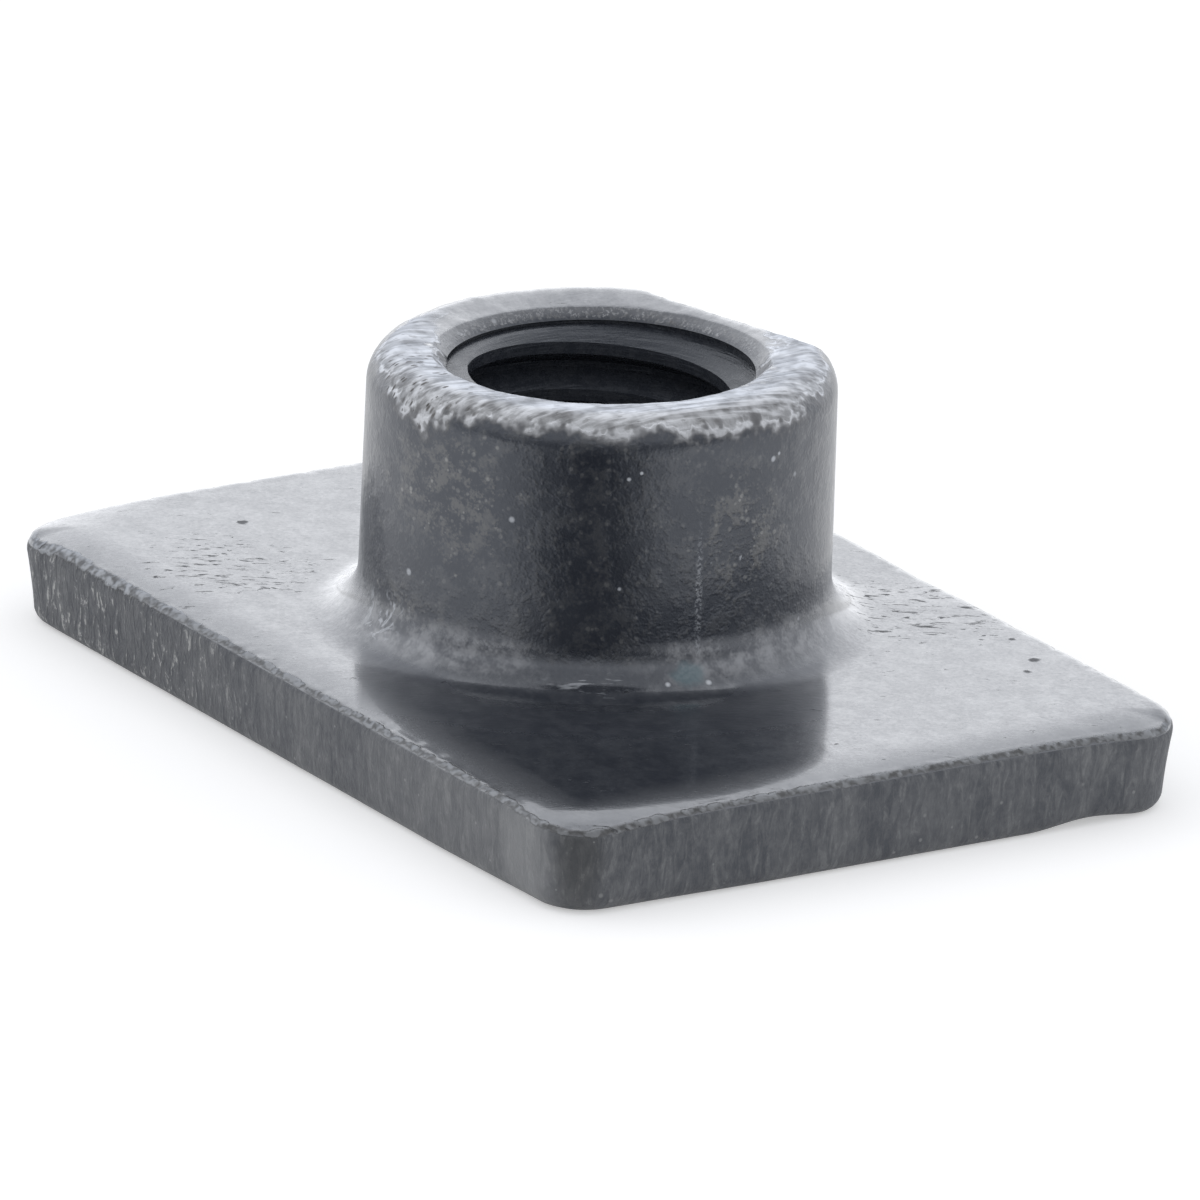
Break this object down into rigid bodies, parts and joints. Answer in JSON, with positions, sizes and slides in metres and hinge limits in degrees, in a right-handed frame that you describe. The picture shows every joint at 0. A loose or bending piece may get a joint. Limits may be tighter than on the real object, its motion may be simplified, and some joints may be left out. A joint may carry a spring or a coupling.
{
  "type": "t slot nut",
  "caption": "T slot nut: a flat rectangular steel plate with a round threaded boss, which slides in a slot and takes a screw from above.",
  "frame": {"origin": "on the thread's axis at the plate's flat underside, which is the centre of the footprint", "axes": "+Z along the thread, out of the boss's mouth; +X along the plate's length; +Y across its width"},
  "size_m": [0.027, 0.0184, 0.0095],
  "materials": {
    "black_steel": "black oxide, glossy on the plate's top, worn bright at the edges and on the boss's rim"
  },
  "bodies": {
    "root": {"t_slot_nut": "black_steel"}
  },
  "joints": []
}
